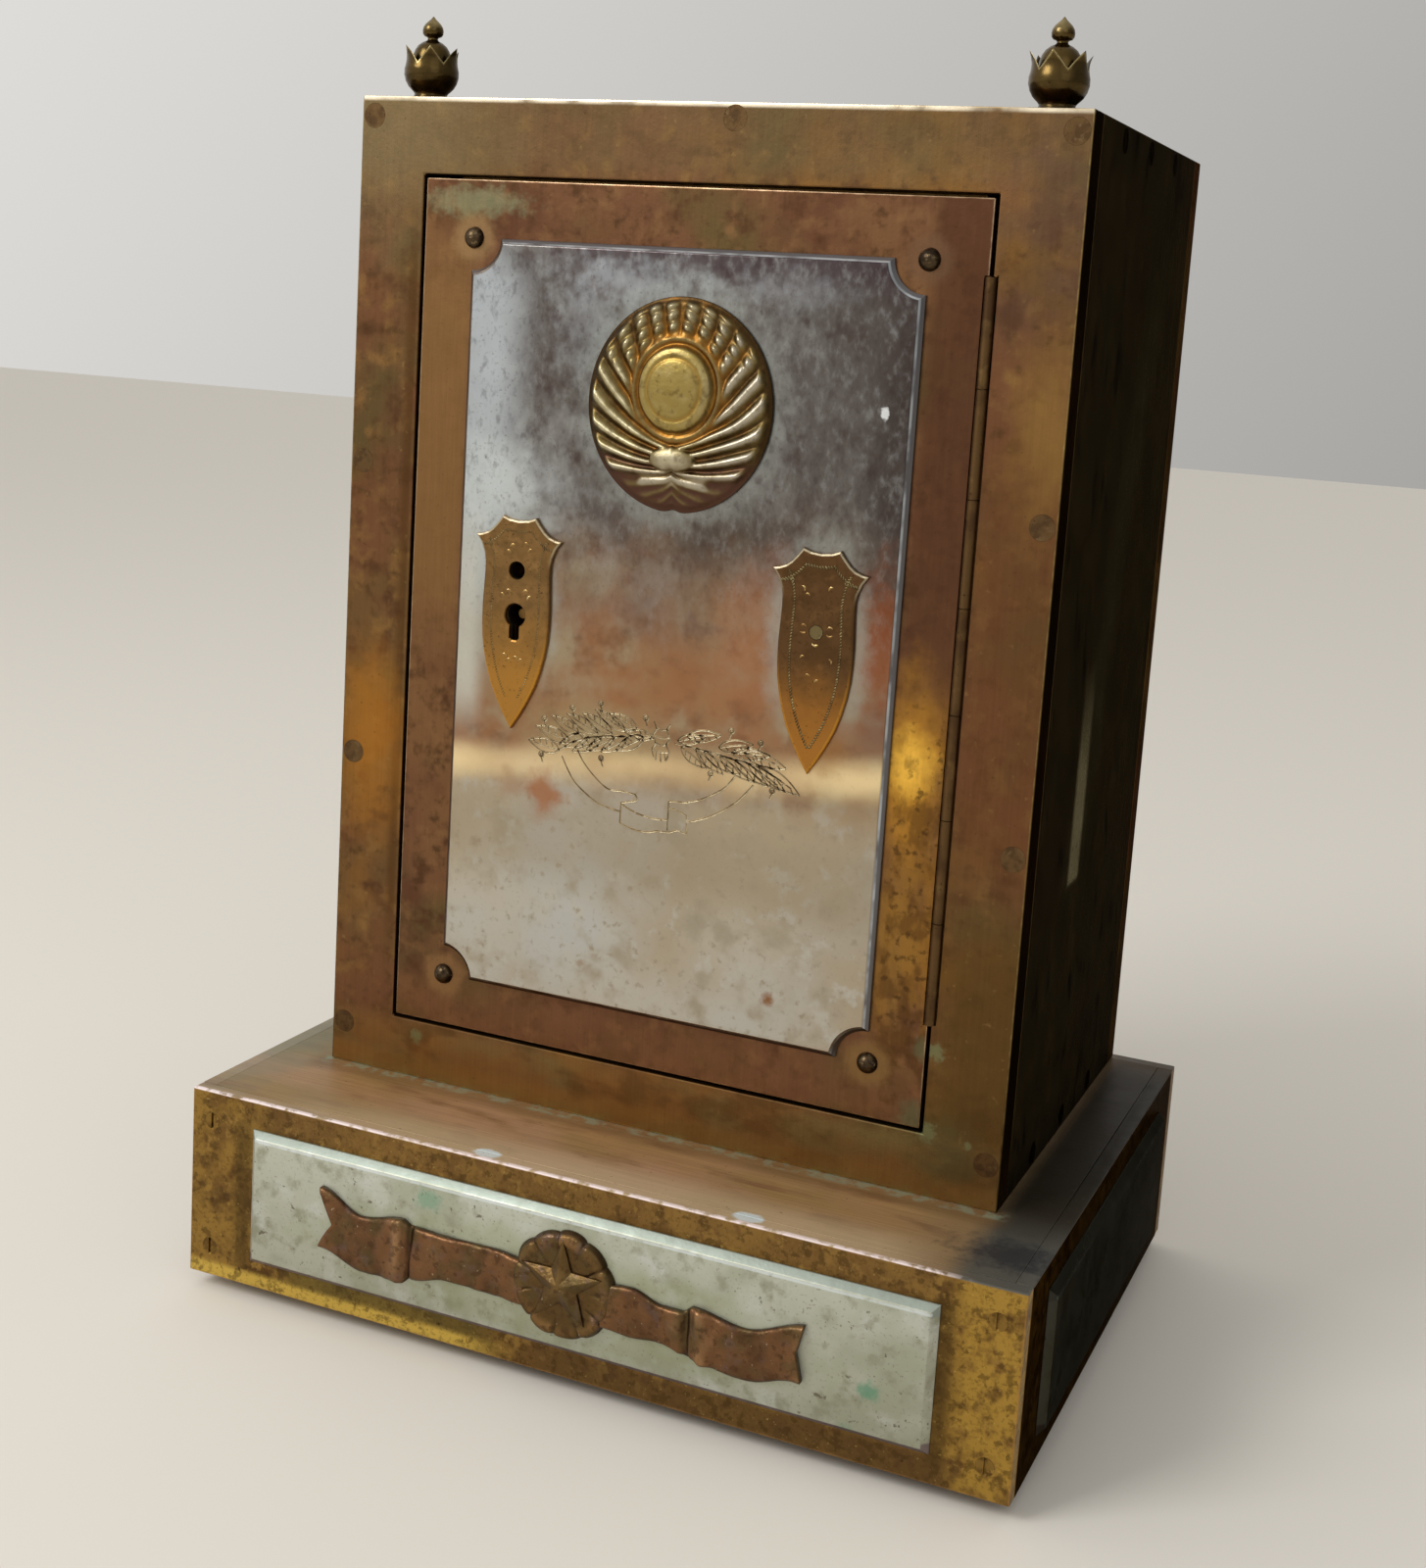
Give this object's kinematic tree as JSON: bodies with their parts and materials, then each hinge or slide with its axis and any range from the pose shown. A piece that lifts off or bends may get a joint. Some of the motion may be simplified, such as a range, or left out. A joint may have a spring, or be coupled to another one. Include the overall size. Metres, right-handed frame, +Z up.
{
  "type": "safe deposit box",
  "caption": "Small table-top brass safe on a wider hollow base, with a side-hinged door, a sliding lock bolt, nickelled panels, a gilt medallion and finials.",
  "frame": {"origin": "on the surface that the feet stand on, under the middle of the bounding box", "axes": "+Z up; the door faces -Y; +X to the right of someone facing the door"},
  "size_m": [0.218, 0.1624, 0.3173],
  "materials": {
    "frame_brass": "aged brass with mottled brown and pink patina, satin",
    "side_brass": "dark patinated brass, satin",
    "rubbed_brass": "golden rubbed brass with dark tarnish",
    "cast_brass": "cast brass with rubbed edges",
    "gilt": "gilt, worn silvery in its lower part",
    "copper_bronze": "red-brown copper bronze, worn",
    "worn_nickel": "worn nickel plate",
    "dull_nickel": "dull speckled nickel plate",
    "screw_brass": "aged brass, satin",
    "lock_steel": "oiled steel"
  },
  "bodies": {
    "body": {"base_top": "frame_brass", "front_frame": "frame_brass", "top_plate": "frame_brass", "hinge_frame_leaf": "frame_brass", "frame_rivets": "frame_brass", "top_stop": "frame_brass", "bottom_stop": "frame_brass", "side_stops": "frame_brass", "left_side": "side_brass", "right_side": "side_brass", "back_plate": "side_brass", "floor_plate": "side_brass", "base_back": "side_brass", "base_bottom": "side_brass", "base_posts": "side_brass", "feet": "side_brass", "base_front": "rubbed_brass", "base_left": "rubbed_brass", "base_right": "rubbed_brass", "finial_left": "cast_brass", "finial_right": "cast_brass", "ribbon_left": "copper_bronze", "ribbon_right": "copper_bronze", "rosette": "copper_bronze", "star": "copper_bronze", "base_front_panel": "dull_nickel", "base_left_panel": "dull_nickel", "base_right_panel": "dull_nickel", "base_screws": "screw_brass", "post_screws": "screw_brass", "floor_screws": "screw_brass", "foot_screws": "screw_brass", "body_bolts": "screw_brass", "back_screws": "screw_brass", "side_screws": "screw_brass", "stop_screws": "screw_brass", "hinge_frame_screws": "screw_brass", "hinge_pin": "screw_brass", "strike_plate": "lock_steel", "strike_screws": "lock_steel"},
    "door": {"door_plate": "frame_brass", "door_panel": "worn_nickel", "door_rivets": "cast_brass", "medallion": "gilt", "lock_escutcheon": "cast_brass", "blank_escutcheon": "cast_brass", "escutcheon_pin": "cast_brass", "hinge_door_leaf": "frame_brass", "hinge_door_screws": "screw_brass", "lock_case": "lock_steel", "lock_cover": "lock_steel", "bolt_guide": "lock_steel", "key_post": "lock_steel", "bolt_spring": "lock_steel", "lock_screws": "lock_steel", "cover_screws": "lock_steel"},
    "bolt": {"lock_bolt": "lock_steel"}
  },
  "joints": [
    {"name": "door_hinge", "type": "hinge", "parent": "body", "child": "door", "pos_m": [0.07055, -0.03865, 0.1775], "axis": [0, 0, 1], "range_deg": [0, 150]},
    {"name": "bolt_slide", "type": "slide", "parent": "door", "child": "bolt", "axis": [-1, 0, 0], "range_m": [0, 0.007]}
  ]
}
